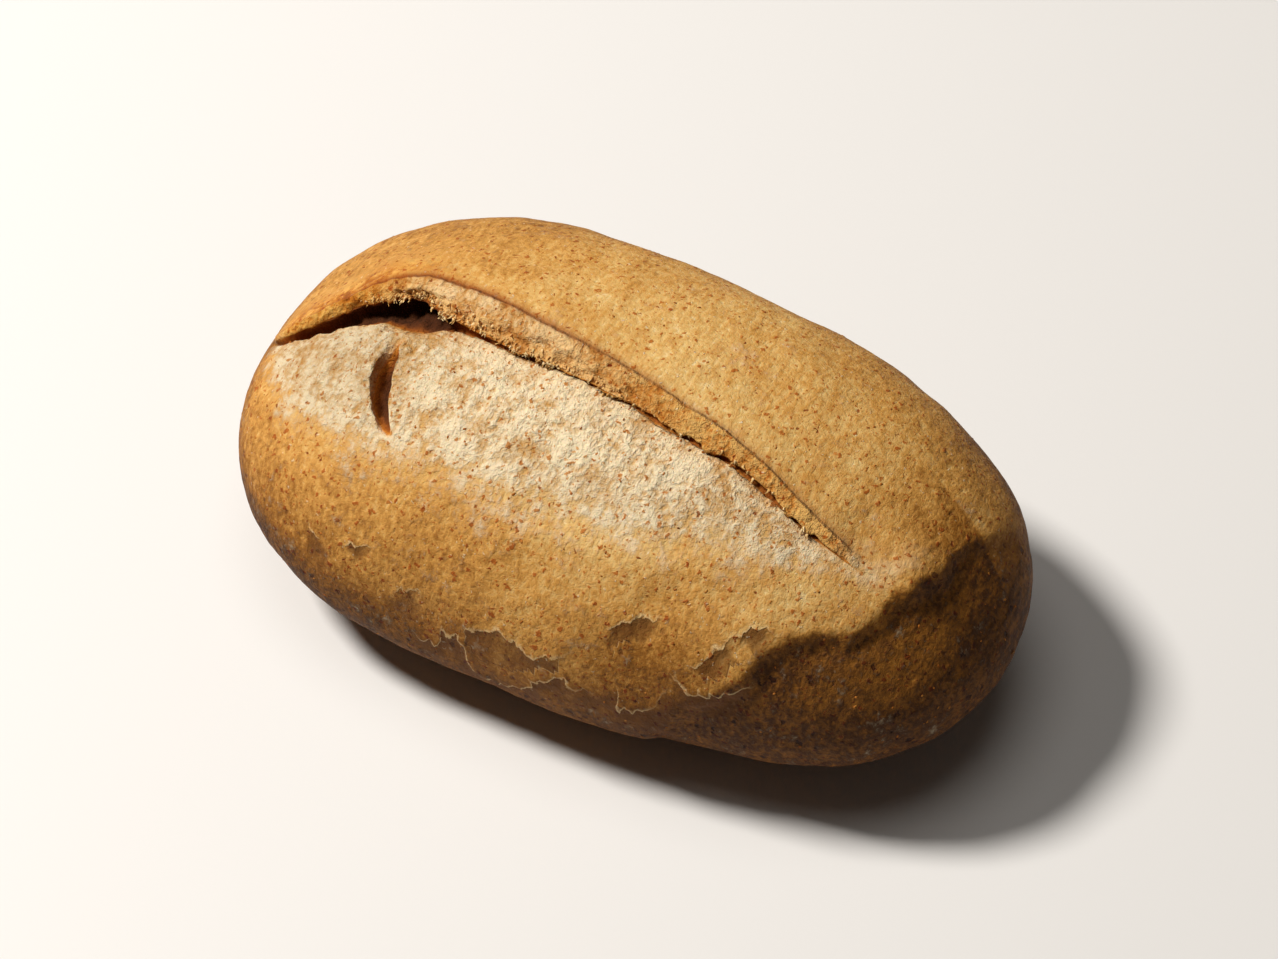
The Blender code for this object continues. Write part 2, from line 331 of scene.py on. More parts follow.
# broken edges of the dried skin low on the roll: (along in mm, angle in degrees) keys, upper skin above them
skin = {
    "edges": [
        [(-39, 164), (-36, 168), (-32, 166), (-29, 162), (-26, 160)],
        [(-28, 171), (-25, 173), (-22, 174), (-19.5, 170), (-16, 171)],
        [(-19, 186), (-14, 187), (-13, 181), (-11, 180), (-9.5, 183), (-8, 194), (-4, 197), (0, 193),
         (3, 186), (6, 181.5), (11.5, 181), (14, 178), (15, 172), (15.8, 185), (18.5, 183.5), (21, 180),
         (22.6, 174), (23.8, 163), (25.7, 162), (27, 159), (28, 152), (30, 146), (32, 142), (36, 142)],
        [(-12, 172), (-8.5, 176), (-5, 173), (-2, 174.5), (2, 176.5), (5, 175), (8, 168), (10.5, 162.5),
         (12.5, 158), (17, 151.5), (20, 151)],
        [(22, 165), (26, 170), (30, 169), (33, 163), (35, 160)],
    ],
    "height": 0.2,
    "fade": 7.0,  # mm above an edge over which the upper skin sinks back
    "perDegree": 0.5,  # mm
    "scallop": 2.0,  # degrees
    "rows": [(2, 4), (22, 3)],  # angle and seed of fainter edges round the back
}


def skinEdges():
    # the keyed edges, and scalloped ones made by rule for the back
    edges = list(skin["edges"])
    for angle, seed in skin["rows"]:
        draw = np.random.default_rng(seed)
        x, keys = -46.0, []
        while x < 44:
            keys.append((x, angle + draw.uniform(-5, 5)))
            x += draw.uniform(5.0, 10.0)
        edges.append(keys)
    return edges


def skinFlakes(grid, place):
    # signed distance to the nearest broken edge, how present it is, and how high the skin stands there
    degrees = np.degrees(place["angle"])
    nearest, here, height = np.full(degrees.shape, 9.0), np.zeros(degrees.shape), np.zeros(degrees.shape)
    wander = 0.7 * lumps(grid, 2.4, 90, 2)
    for number, keys in enumerate(skinEdges()):
        back = number >= len(skin["edges"])
        angle = -np.where(degrees > 240, degrees - 360, degrees) if back else degrees
        places, values = np.array(keys, float).T
        values = -values if back else values
        at = grid[..., 0] + wander
        edge = np.interp(at, places, values) + 1.8 * lumps(grid, 1.7, 91 + number, 2)
        edge = edge + skin["scallop"] * (np.abs(np.sin(1.2 * at + 2.5 * lumps(grid, 6.0, 88))) - 0.6)
        slope = (np.interp(at + 0.4, places, values) - np.interp(at - 0.4, places, values)) / 0.8
        steep = np.minimum((skin["perDegree"] * slope) ** 2, 9.0)
        gap = (edge - angle) * skin["perDegree"] / np.sqrt(1 + steep)
        present = ramp(places[0], places[0] + 3, at) * (1 - ramp(places[-1] - 3, places[-1], at))
        present = present * ramp(-0.65, -0.05, lumps(grid, 4.0, 97 + number))
        if back:
            present = 0.5 * present * ramp(-0.2, 0.3, lumps(grid, 12.0, 87 + number))
        step = ramp(-0.9, 0.25, gap) * np.exp(-np.maximum(gap, 0) / skin["fade"])
        step = step - 0.35 * np.exp(-np.abs(gap) / 2.5) * (gap < 0)
        rim = 0.25 * np.exp(-((gap - 0.4) / 0.5) ** 2)
        height = height + present * skin["height"] * (step + rim)
        closer = (np.abs(gap) + 3 * (1 - present)) < (np.abs(nearest) + 3 * (1 - here))
        nearest, here = np.where(closer, gap, nearest), np.where(closer, present, here)
    return np.clip(nearest, -9, 9), here, height


def surfaceMasks(grid, place):
    # where the crust is torn, bared or hollow, where it is baked darker or painted with shade, each from 0 to
    # 1
    station, across, t = place["station"], place["across"], place["profile"]
    slashEnds = ramp(-0.97, -0.90, station) * (1 - ramp(0.60, 0.68, station))
    inSlash = (t < 50) * place["gathered"] * slashEnds
    lip = ramp(2.85, 3.15, t) * (1 - ramp(7.2, 7.8, t)) * inSlash
    hollow = ramp(6.9, 8.2, t) * (1 - ramp(12.3, 13.7, t)) * inSlash
    wobble = 0.05 * lumps(grid, 9.0, 11, 3) + 0.045 * lumps(grid, 2.6, 12, 3)
    front = easeSteps(roll["crumbFront"], station) + wobble
    upper = place["angle"] < math.pi
    before = np.where(t < 50, ramp(12.3, 13.5, t), 1.0) * (across < place["cut"] + 0.1)
    bare = ramp(-0.14, 0.40, across - front) * before * upper * easeSteps(roll["crumbEnds"], station)
    brow = bell(across - front, -0.02, 0.06) * upper
    brow = brow * ramp(-0.5, -0.1, station) * (1 - ramp(0.4, 0.7, station))
    edgeLine = bell(t, 3.0, 0.24) * (1 - 0.55 * ramp(-0.5, 0.2, station))
    # a second, broken line runs beside it at the left end
    beside = bell(t, 2.25 + 0.5 * lumps(grid, 4.0, 15), 0.13) * bell(station, -0.78, 0.12)
    beside = beside * ramp(-0.4, 0.3, lumps(grid, 3.0, 16))
    edgeLine = np.maximum(edgeLine, 0.8 * beside) * inSlash
    # the lip is toasted where it is thin: at its left end and along the right half of the slash
    toastedAndLedgeShade = np.maximum(1 - ramp(-0.76, -0.52, station), 0.8 * ramp(-0.4, 0.15, station))
    # painted shade on its torn lower half, below the ledge
    lower = ramp(5.0, 5.8, t + 0.6 * lumps(grid, 1.6, 17)) * ramp(-0.66, -0.52, station)
    lower = lower * (1 - ramp(-0.15, 0.1, station))
    toastedAndLedgeShade = np.maximum(toastedAndLedgeShade, 0.5 * lower)
    # painted shade in the groove where the crumb meets the lip
    grooveShade = 0.6 * bell(t, 13.6, 0.7) * inSlash
    upperEdge = bell(t, 2.6, 1.0) * inSlash * 0.95 * (1 - ramp(-0.72, -0.48, station))
    toastAndShade = np.maximum(np.maximum(lip * toastedAndLedgeShade, grooveShade), upperEdge)
    degrees = np.degrees(place["angle"])
    nearEnd = ramp(0.88, 0.985, np.abs(station))
    bakeAndShade = easeSteps(roll["bakeAndShadeRound"], degrees) * (1 - nearEnd)
    bakeAndShade = bakeAndShade + easeSteps(roll["bakeAndShadeAtEnds"], grid[..., 2]) * nearEnd
    bakeAndShade = bakeAndShade + easeSteps(roll["bakeAndShadeAlong"], station)
    bakeAndShade = bakeAndShade + 0.12 * bell(station, -0.75, 0.2) * ramp(128, 150, degrees) * (degrees < 230)
    for strength, along, spread, angle, turn in roll["bakeAndShadeSpots"]:
        bakeAndShade = bakeAndShade + strength * bell(station, along, spread) * bell(degrees, angle, turn)
    beyond = beyondShoulder(grid)
    # painted shade past the shoulder line where the right end falls away, darkest just past the line
    darker = 0.52 * ramp(-0.5, 1.2, beyond) + 0.18 * bell(beyond, 3.5, 3.0)
    bakeAndShade = bakeAndShade + darker * facingFront(grid) * ramp(2, 9, grid[..., 2])
    bakeAndShade = np.clip(bakeAndShade + 0.13 * lumps(grid, 11.0, 13, 3), 0, 1)
    flourAndHighlight = 0.0
    for share, middle, spread in roll["flourAndHighlightPatches"]:
        flourAndHighlight = flourAndHighlight + share * np.exp(-(((grid - middle) / spread) ** 2).sum(-1))
    flourAndHighlight = flourAndHighlight * (1 - ramp(-3.0, -0.5, beyond))
    # painted shade on the crumb, at its left end and along its lower edge
    crumbShade = np.maximum(1 - ramp(-0.7, -0.2, station), 0.5 - 0.5 * ramp(0.05, 0.45, across - front))
    # painted shade in the hollow, darker where it opens widest
    hollow = hollow * (0.42 + 0.5 * ramp(0.1, 0.6, easeSteps(roll["openWidth"], station)))
    return {"lip": lip, "hollow": hollow, "bare": bare, "edgeLine": edgeLine, "toastAndShade": toastAndShade, "bakeAndShade": bakeAndShade,
            "flourAndHighlight": np.clip(flourAndHighlight, 0, 1), "brow": brow, "crumbShade": crumbShade}


relief = {
    "swell": [(27.0, 0.55), (11.0, 0.28)],  # (size, height) of the slow waves of the dough
    "crust": [(5.0, 0.14, 1), (1.9, 0.07, 2)],  # (size, height, octaves)
    "crumb": [(4.5, 0.30, 2), (1.5, 0.22, 3)],
    "fibreSize": (0.75, 3.4, 3.4),  # torn fibres run across the slash
    "fibreHeight": 0.22,
    "lip": [(2.4, 0.22, 2), (0.9, 0.20, 1)],
    "hollow": [(3.0, 0.6, 2), (0.9, 0.35, 1)],
    "shoulderNormal": (0.75, -0.38, -0.54),  # the right end falls away behind this plane
    "shoulderAt": 19.2,
    "shoulderWander": [(2.2, 9.0, 70, 1), (1.1, 2.6, 71, 2)],  # (height, size, seed, octaves)
    "shoulderDepth": 1.5,
    "ledgeDepth": 0.75,  # how far the lip is torn back below its ledge
    "ledgeRough": 0.55,
    "bump": (47.6, -5.5, 36.0, 4.5, 1.1),  # place, radius and height of the knob past the slash
}


def beyondShoulder(grid):
    # mm past the line where the right end falls away
    beyond = grid @ np.array(relief["shoulderNormal"]) - relief["shoulderAt"]
    for height, size, seed, octaves in relief["shoulderWander"]:
        beyond = beyond + height * lumps(grid, size, seed, octaves)
    return beyond


def facingFront(grid):
    return 1 - ramp(-6, 22, grid[..., 1])


def shapeSurface(grid, place, masks):
    fade = ramp(0.0, 6.0, grid[..., 2])[..., None]
    for size, height in relief["swell"]:
        drift = np.stack([lumps(grid, size, 20 + axis) for axis in range(3)], -1)
        grid = grid + drift * height * fade
    normals = gridNormals(grid)
    crust = (1 - masks["lip"]) * (1 - masks["hollow"]) * (1 - masks["bare"])
    height = 0.0
    for name, weight in (("crust", crust), ("crumb", masks["bare"]), ("lip", masks["lip"]),
                         ("hollow", masks["hollow"])):
        for size, tall, octaves in relief[name]:
            height = height + weight * tall * lumps(grid, size, 40 + int(size * 10), octaves)
    bend = 2.5 * lumps(grid, 14.0, 60)
    skewed = grid + np.stack([bend, 0 * bend, 0 * bend], -1)
    fibres = lumps(skewed / np.array(relief["fibreSize"]), 1.0, 61, 2)
    height = height + (masks["bare"] + 0.5 * masks["lip"]) * relief["fibreHeight"] * fibres
    height = height - 0.24 * masks["edgeLine"] + place["skinHeight"]
    # the crust in front ends in a low brow above the crumb
    height = height + 0.30 * masks["brow"] - 0.25 * masks["bare"]
    # below its upper half the lip is torn back, with a ragged brow
    t, station = place["profile"], place["station"]
    ragged = t + 0.75 * lumps(grid, 1.3, 63, 2) + 0.5 * lumps(grid, 4.0, 64)
    ledge = ramp(5.2, 5.6, ragged) * (1 - ramp(7.0, 7.7, t)) * ramp(-0.72, -0.60, station)
    ledge = ledge * (1 - ramp(-0.08, 0.15, station))
    height = height - relief["ledgeDepth"] * ledge + relief["ledgeRough"] * ledge * lumps(grid, 0.95, 65, 2)
    # the shoulder at the right end
    beyond = beyondShoulder(grid)
    fallen = relief["shoulderDepth"] * ramp(-0.8, 3.6, beyond) * (1 - ramp(8.0, 24.0, beyond))
    height = height - fallen * facingFront(grid)
    x, y, z, radius, tall = relief["bump"]
    height = height + tall * np.exp(-((grid - (x, y, z)) ** 2).sum(-1) / radius**2)
    # leave the flat patch that the roll rests on as it is
    height = height * fade[..., 0]
    grid = grid + normals * height[..., None]
    grid[..., 2] = np.maximum(grid[..., 2], 0)
    return grid


def gridMesh(name, grid, masks):
    # close the rings into one skin with a pole at each end
    rows, columns = grid.shape[:2]
    index = np.arange(rows * columns).reshape(rows, columns)
    following = np.roll(index, -1, axis=1)
    quads = np.stack([index[:-1], following[:-1], following[1:], index[1:]], -1).reshape(-1, 4)
    poles = [grid[0].mean(0), grid[-1].mean(0)]
    poles[0][0], poles[1][0] = -roll["length"] / 2, roll["length"] / 2
    first = rows * columns
    fans = [(first, following[0, k], index[0, k]) for k in range(columns)]
    fans += [(first + 1, index[-1, k], following[-1, k]) for k in range(columns)]
    mesh = bpy.data.meshes.new(name)
    points = np.concatenate([grid.reshape(-1, 3), poles]) * mm
    mesh.from_pydata(points.tolist(), [], quads.tolist() + fans)
    for mask, values in masks.items():
        layer = mesh.attributes.new(mask, "FLOAT", "POINT")
        layer.data.foreach_set("value", np.append(values.reshape(-1), [0.0, 0.0]).astype(np.float32))
    piece = bpy.data.objects.new(name, mesh)
    bpy.context.scene.collection.objects.link(piece)
    work = bmesh.new()
    work.from_mesh(mesh)
    bmesh.ops.recalc_face_normals(work, faces=work.faces)
    work.to_mesh(mesh)
    work.free()
    mesh.shade_smooth()
    return piece


print("roll: shaping the skin")
grid, place = plainGrid()
masks = surfaceMasks(grid, place)
masks["skinGap"], masks["skinHere"], place["skinHeight"] = skinFlakes(grid, place)
grid, masks["tear"] = openTear(grid)
grid = shapeSurface(grid, place, masks)
rollPiece = gridMesh("roll_body", grid, masks)


def linear(hexColour):
    # sRGB hex to the linear colour that Blender works in
    parts = [int(hexColour[at:at + 2], 16) / 255 for at in (1, 3, 5)]
    return [part / 12.92 if part <= 0.04045 else ((part + 0.055) / 1.055) ** 2.4 for part in parts] + [1.0]


def addNode(tree, kind, settings=None, *ordered, **links):
    # one node with its settings; its inputs are given in order, by number (i6) or by name,
    # each as a value, a socket or a node whose first output is meant
    node = tree.nodes.new(kind)
    for key, value in (settings or {}).items():
        setattr(node, key, value)
    given = dict(enumerate(ordered))
    for name, value in links.items():
        given[int(name[1:]) if name[0] == "i" and name[1:].isdigit() else name.replace("_", " ")] = value
    for key, value in given.items():
        if isinstance(value, bpy.types.Node):
            value = value.outputs[0]
        if isinstance(value, bpy.types.NodeSocket):
            tree.links.new(value, node.inputs[key])
        else:
            node.inputs[key].default_value = value
    return node


# the kind and the settings that many nodes share
mathKind = "ShaderNodeMath"
words = ("ADD", "SUBTRACT", "MULTIPLY", "MULTIPLY_ADD", "MAXIMUM", "LESS_THAN", "SCALE")
add, subtract, multiply, multiplyAdd, maximum, lessThan, scale = ({"operation": word} for word in words)
smooth = {"interpolation_type": "SMOOTHSTEP"}
rgba, vectors = {"data_type": "RGBA"}, {"data_type": "FLOAT_VECTOR"}


def fillRamp(colourRamp, stops):
    while len(colourRamp.elements) < len(stops):
        colourRamp.elements.new(1.0)
    for element, (position, hexColour) in zip(colourRamp.elements, stops):
        element.position = position
        element.color = linear(hexColour)


# wholemeal crust: dry and matt, its starch browned by the oven, with milled bran in it
bakedCrust = {
    # its darkest stop is the colour of shade, painted in where the mask is highest
    "browningAndShade": [(0.0, "#EFD5A0"), (0.2, "#E0B771"), (0.42, "#CC9448"), (0.68, "#97611F"), (1.0, "#4E2C0D")],
    "crumb": [(0.20, "#B06A1E"), (0.34, "#CC9650"), (0.50, "#DAB480"), (0.70, "#F4E0BA")],
    # a grey that paints shade on the crumb
    "tan": "#E4E2E0",
    "torn": [(0.3, "#A06026"), (0.5, "#C58F4E"), (0.74, "#E6C28E")],
    "toastAndShade": [(0.3, "#803C06"), (0.5, "#BE7420"), (0.75, "#DFA954")],
    # painted shade, darker down into the tear and the hollow
    "depth": [(0.0, "#E4A654"), (0.2, "#CC802C"), (0.45, "#945016"), (0.72, "#5E3010"), (1.0, "#3A1C08")],
    "edgeLine": "#8E420A",
    "paleEdgeAndHighlight": "#EFD09A",
    "underSkinAndShade": "#6A3F14",
    "flourAndHighlight": "#EED8AE",
    "roughness": 0.68,
    # bran and blisters: cell and radius in mm, share of cells that hold one, colour, strength, height
    "specks": [
        {"cell": 0.8, "radius": 0.20, "share": 0.40, "colour": "#DDA45C", "strength": 0.8, "height": 0.1,
         "onDark": 0},
        {"cell": 1.6, "radius": 0.34, "share": 0.55, "colour": "#D2934A", "strength": 0.9, "height": 0.2,
         "onDark": 0},
        {"cell": 2.9, "radius": 0.26, "share": 0.55, "colour": "#A8662A", "strength": 0.9, "height": -0.2,
         "onDark": 0},
        {"cell": 2.4, "radius": 0.46, "share": 0.40, "colour": "#8C6440", "strength": 0.9, "height": -0.6,
         "onDark": 1},
    ],
    # pale flecks of dried dough
    "flecks": {"cell": 1.2, "radius": 0.16, "share": 0.45, "colour": "#F6E6C4", "strength": 0.6,
               "height": 0.3, "onDark": -1},
    "slow": 7.0,  # mm, the widest waves of browning
    "patch": 2.3,  # mm
    "grain": 0.42,  # mm across
    "unevenness": (0.32, 0.26, 0.60, 0.48),  # how much the waves, patches, grain and strokes brown it
    "bumpHeight": 0.28,  # mm
}


def crustMaterial():
    material = bpy.data.materials.new("bakedCrust")
    material.use_nodes = True
    tree = material.node_tree
    shader = tree.nodes["Principled BSDF"]
    masks = {name: addNode(tree, "ShaderNodeAttribute",
                           {"attribute_name": name}).outputs["Fac"] for name in ("bare", "lip", "hollow",
                                                                                 "edgeLine", "toastAndShade",
                                                                                 "bakeAndShade", "tear", "flourAndHighlight",
                                                                                 "crumbShade", "skinGap",
                                                                                 "skinHere")}
    inMetres = addNode(tree, "ShaderNodeTexCoord").outputs["Object"]
    place = addNode(tree, "ShaderNodeVectorMath", scale, i0=inMetres, Scale=1 / mm)

    slow = addNode(tree, "ShaderNodeTexNoise", None, Vector=place, Scale=1 / bakedCrust["slow"], Detail=3.0,
                   Roughness=0.6)
    patchy = addNode(tree, "ShaderNodeTexNoise", None, Vector=place, Scale=1 / bakedCrust["patch"],
                     Detail=4.0, Roughness=0.62)
    grain = addNode(tree, "ShaderNodeTexNoise", None, Vector=place, Scale=0.5 / bakedCrust["grain"],
                    Detail=3.0, Roughness=0.7, Distortion=0.4)
    # short strokes where the dough was drawn over itself
    turned = addNode(tree, "ShaderNodeMapping", None, Vector=place, Rotation=(0.3, 0.2, math.radians(38)),
                     Scale=(1.0, 0.3, 0.6))
    strokes = addNode(tree, "ShaderNodeTexNoise", None, Vector=turned, Scale=0.5 / bakedCrust["grain"],
                      Detail=2.0, Roughness=0.6)
    warp = addNode(tree, "ShaderNodeTexNoise", None, Vector=place, Scale=1 / 0.9, Detail=3.0).outputs["Color"]
    shift = addNode(tree, "ShaderNodeVectorMath", subtract, i0=warp, i1=(0.5, 0.5, 0.5))
    warped = addNode(tree, "ShaderNodeVectorMath", multiplyAdd, i0=shift, i1=(1.6, 1.6, 1.6), i2=place)

    # browning and painted shade, uneven at every scale: each noise has 0.5 as its middle
    level = addNode(tree, mathKind, multiplyAdd, masks["bakeAndShade"], 0.72, 0.22)
    for noise, weight in zip((slow, patchy, grain, strokes), bakedCrust["unevenness"]):
        level = addNode(tree, mathKind, multiplyAdd, noise, weight, level)
        level = addNode(tree, mathKind, subtract, level, weight / 2)
    browningAndShade = addNode(tree, "ShaderNodeValToRGB", None, Fac=level)
    fillRamp(browningAndShade.color_ramp, bakedCrust["browningAndShade"])

    # dried skin: a pale broken edge that is partly painted highlight, and darker skin below it that is partly
    # painted shade
    frayed = addNode(tree, mathKind, multiplyAdd, addNode(tree, mathKind, subtract, patchy, 0.5), 1.6,
                     masks["skinGap"])
    frayed = addNode(tree, mathKind, multiplyAdd, addNode(tree, mathKind, subtract, grain, 0.5), 0.5, frayed)
    below = addNode(tree, "ShaderNodeMapRange", None, Value=frayed, i1=-0.12, i2=0.05, i3=1.0, i4=0.0)
    deeper = addNode(tree, "ShaderNodeMapRange", smooth, Value=frayed, i1=-7.0, i2=-0.5)
    shadeUnderEdge = addNode(tree, mathKind, multiply, addNode(tree, mathKind, multiply, below, deeper),
                    addNode(tree, mathKind, multiply, masks["skinHere"], 0.85))
    rim = addNode(tree, "ShaderNodeMapRange", None, Value=frayed, i1=0.12, i2=0.5, i3=1.0, i4=0.0)
    edge = addNode(tree, "ShaderNodeMapRange", None, Value=frayed, i1=-0.04, i2=0.05)
    rim = addNode(tree, mathKind, multiply, addNode(tree, mathKind, multiply, rim, edge), masks["skinHere"])
    colour = addNode(tree, "ShaderNodeMix", rgba, i0=shadeUnderEdge, i6=browningAndShade,
                     i7=linear(bakedCrust["underSkinAndShade"])).outputs[2]
    colour = addNode(tree, "ShaderNodeMix", rgba, i0=addNode(tree, mathKind, multiply, rim, 0.6), i6=colour,
                     i7=linear(bakedCrust["paleEdgeAndHighlight"])).outputs[2]

    # torn crumb: pale and spongy, drawn out across the slash
    drawn = addNode(tree, "ShaderNodeVectorMath", multiplyAdd, i0=shift, i1=(0.6, 0.6, 0.6), i2=place)
    drawn = addNode(tree, "ShaderNodeVectorMath", multiply, i0=drawn, i1=(1.0, 0.35, 0.35))
    fibres = addNode(tree, "ShaderNodeTexNoise", None, Vector=drawn, Scale=1 / 0.9, Detail=4.0,
                     Roughness=0.68)
    sponge = addNode(tree, mathKind, multiplyAdd, fibres, 0.45,
                     addNode(tree, mathKind, multiplyAdd, grain, 0.55, -0.28))
    sponge = addNode(tree, mathKind, multiplyAdd, patchy, 0.7, sponge)
    sponge = addNode(tree, mathKind, multiplyAdd, slow, 0.7, addNode(tree, mathKind, subtract, sponge, 0.3))
    sponge = addNode(tree, mathKind, multiplyAdd, addNode(tree, mathKind, subtract, sponge, 0.5), 1.2, 0.5)
    patches = addNode(tree, "ShaderNodeMapRange", smooth,
                      Value=addNode(tree, mathKind, multiplyAdd,
                                    addNode(tree, mathKind, subtract, sponge, 0.5), 0.8, masks["bare"]),
                                    i1=0.2, i2=0.75)
    sponge = addNode(tree, mathKind, multiplyAdd, masks["crumbShade"], -0.05, sponge)
    broken = {}
    for name in ("crumb", "torn", "toastAndShade"):
        broken[name] = addNode(tree, "ShaderNodeValToRGB", None, Fac=sponge)
        fillRamp(broken[name].color_ramp, bakedCrust[name])
    # a grey multiply paints shade on the crumb
    broken["crumb"] = addNode(tree, "ShaderNodeMix", {"data_type": "RGBA", "blend_type": "MULTIPLY"},
                              i0=masks["crumbShade"], i6=broken["crumb"],
                              i7=linear(bakedCrust["tan"])).outputs[2]
    for mask, name in ((patches, "crumb"), (masks["lip"], "torn"), (masks["toastAndShade"], "toastAndShade")):
        colour = addNode(tree, "ShaderNodeMix", rgba, i0=mask, i6=colour, i7=broken[name]).outputs[2]

    # flour, and a painted highlight on the knob past the slash
    flourAndHighlightShare = addNode(tree, mathKind, multiply, masks["flourAndHighlight"],
                     addNode(tree, "ShaderNodeMapRange", None, Value=patchy, i1=0.35, i2=0.6))
    colour = addNode(tree, "ShaderNodeMix", rgba, i0=addNode(tree, mathKind, multiply, flourAndHighlightShare, 0.55),
                     i6=colour, i7=linear(bakedCrust["flourAndHighlight"])).outputs[2]

    # bran specks and small pale blisters
    height = addNode(tree, mathKind, multiplyAdd, grain, 0.9, addNode(tree, mathKind, multiply, strokes, 0.5))
    height = addNode(tree, mathKind, multiplyAdd, patchy, 0.8, height)
    for speck in bakedCrust["specks"] + [bakedCrust["flecks"]]:
        cells = addNode(tree, "ShaderNodeTexVoronoi", None, Vector=warped, Scale=1 / speck["cell"])
        radius = speck["radius"] / speck["cell"]
        spot = addNode(tree, "ShaderNodeMapRange", smooth, Value=cells, i1=radius * 0.7, i2=radius * 1.3,
                       i3=1.0, i4=0.0)
        chance = addNode(tree, "ShaderNodeSeparateColor", None, Color=cells.outputs["Color"])
        spot = addNode(tree, mathKind, multiply, spot,
                       addNode(tree, mathKind, lessThan, chance, speck["share"]))
        spot = addNode(tree, mathKind, multiply, spot,
                       addNode(tree, mathKind, multiplyAdd, masks["bakeAndShade"], speck["onDark"],
                               1 - max(speck["onDark"], 0)))
        blend = "MIX" if speck is bakedCrust["flecks"] else "MULTIPLY"
        colour = addNode(tree, "ShaderNodeMix", {"data_type": "RGBA", "blend_type": blend},
                         i0=addNode(tree, mathKind, multiply, spot, speck["strength"]), i6=colour,
                         i7=linear(speck["colour"])).outputs[2]
        height = addNode(tree, mathKind, multiplyAdd, spot, speck["height"], height)

    colour = addNode(tree, "ShaderNodeMix", rgba, i0=addNode(tree, mathKind, multiply, masks["edgeLine"],
                                                             0.9), i6=colour,
                                                             i7=linear(bakedCrust["edgeLine"])).outputs[2]
    # painted shade: darker down into the hollow and the tear
    deep = addNode(tree, mathKind, maximum, masks["hollow"], masks["tear"])
    recessShade = addNode(tree, "ShaderNodeValToRGB", None,
                     Fac=addNode(tree, mathKind, multiplyAdd, addNode(tree, mathKind, subtract, grain, 0.5),
                                 0.3, deep))
    fillRamp(recessShade.color_ramp, bakedCrust["depth"])
    entering = addNode(tree, "ShaderNodeMapRange", None, Value=deep, i1=0.02, i2=0.22)
    colour = addNode(tree, "ShaderNodeMix", rgba, i0=entering, i6=colour, i7=recessShade).outputs[2]
    tree.links.new(colour, shader.inputs["Base Color"])

    opened = addNode(tree, mathKind, maximum, addNode(tree, mathKind, maximum, masks["bare"], masks["lip"]),
                     deep)
    rough = addNode(tree, "ShaderNodeMapRange", None, Value=opened, i3=bakedCrust["roughness"], i4=0.92)
    tree.links.new(rough.outputs[0], shader.inputs["Roughness"])
    height = addNode(tree, mathKind, multiplyAdd, addNode(tree, mathKind, multiply, sponge, opened), 2.6,
                     height)
    height = addNode(tree, mathKind, multiplyAdd, addNode(tree, mathKind, multiply, below,
                                                          masks["skinHere"]), -0.5, height)
    bump = addNode(tree, "ShaderNodeBump", None, Strength=1.0, Distance=bakedCrust["bumpHeight"] * mm,
                   Height=height)
    tree.links.new(bump.outputs["Normal"], shader.inputs["Normal"])
    shader.inputs["IOR"].default_value = 1.45
    shader.inputs["Specular IOR Level"].default_value = 0.22
    shader.inputs["Subsurface Weight"].default_value = 0.12
    shader.inputs["Subsurface Radius"].default_value = (1.0, 0.45, 0.2)
    shader.inputs["Subsurface Scale"].default_value = 1.2 * mm
    return material


rollPiece.data.materials.append(crustMaterial())
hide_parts("bread_roll")
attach(rollPiece, "root")

# what the slash tore loose, and the bran on the skin, grown on the shaped roll by nodes


def scatterTree(name, values, shape):
    # points on the faces, weighted by their growth, each with a shape laid along the faces' lie
    tree = bpy.data.node_groups.new(name, "GeometryNodeTree")
    tree.interface.new_socket("Geometry", in_out="INPUT", socket_type="NodeSocketGeometry")
    tree.interface.new_socket("Geometry", in_out="OUTPUT", socket_type="NodeSocketGeometry")
    for key in values:
        kind = {"Seed": "NodeSocketInt", "Material": "NodeSocketMaterial"}.get(key, "NodeSocketFloat")
        tree.interface.new_socket(key, in_out="INPUT", socket_type=kind)
    given = addNode(tree, "NodeGroupInput").outputs
    growth = addNode(tree, "GeometryNodeInputNamedAttribute", {"data_type": "FLOAT"}, Name="growth")
    density = addNode(tree, mathKind, multiply, i0=growth, i1=given["Per square metre"])
    points = addNode(tree, "GeometryNodeDistributePointsOnFaces", None, Mesh=given["Geometry"],
                     Density=density, Seed=given["Seed"])
    lie = addNode(tree, "GeometryNodeInputNamedAttribute", vectors, Name="lie")
    stray = addNode(tree, "FunctionNodeRandomValue", vectors, i0=(-1, -1, -1), i1=(1, 1, 1),
                    Seed=given["Seed"])
    strayed = addNode(tree, "ShaderNodeVectorMath", scale, i0=stray, Scale=given["Stray"])
    towards = addNode(tree, "ShaderNodeVectorMath", add, i0=lie, i1=strayed)
    aligned = addNode(tree, "FunctionNodeAlignRotationToVector", {"axis": "Z"}, Vector=towards)
    spin = addNode(tree, "FunctionNodeRandomValue", vectors, i0=(0, 0, 0), i1=(0, 0, 2 * math.pi),
                   Seed=addNode(tree, mathKind, None, i0=given["Seed"], i1=1.0))
    turned = addNode(tree, "FunctionNodeRotateRotation", {"rotation_space": "LOCAL"}, Rotation=aligned,
                     Rotate_By=spin)
    size = addNode(tree, "FunctionNodeRandomValue", {"data_type": "FLOAT"}, i2=given["Smallest"],
                   i3=given["Largest"], Seed=addNode(tree, mathKind, None, i0=given["Seed"],
                                                     i1=2.0)).outputs[1]
    placed = addNode(tree, "GeometryNodeInstanceOnPoints", None, Points=points, Instance=shape(tree, given),
                     Rotation=turned, Scale=size)
    real = addNode(tree, "GeometryNodeRealizeInstances", None, Geometry=placed)
    painted = addNode(tree, "GeometryNodeSetMaterial", None, Geometry=real, Material=given["Material"])
    addNode(tree, "NodeGroupOutput", None, Geometry=painted)
    return tree


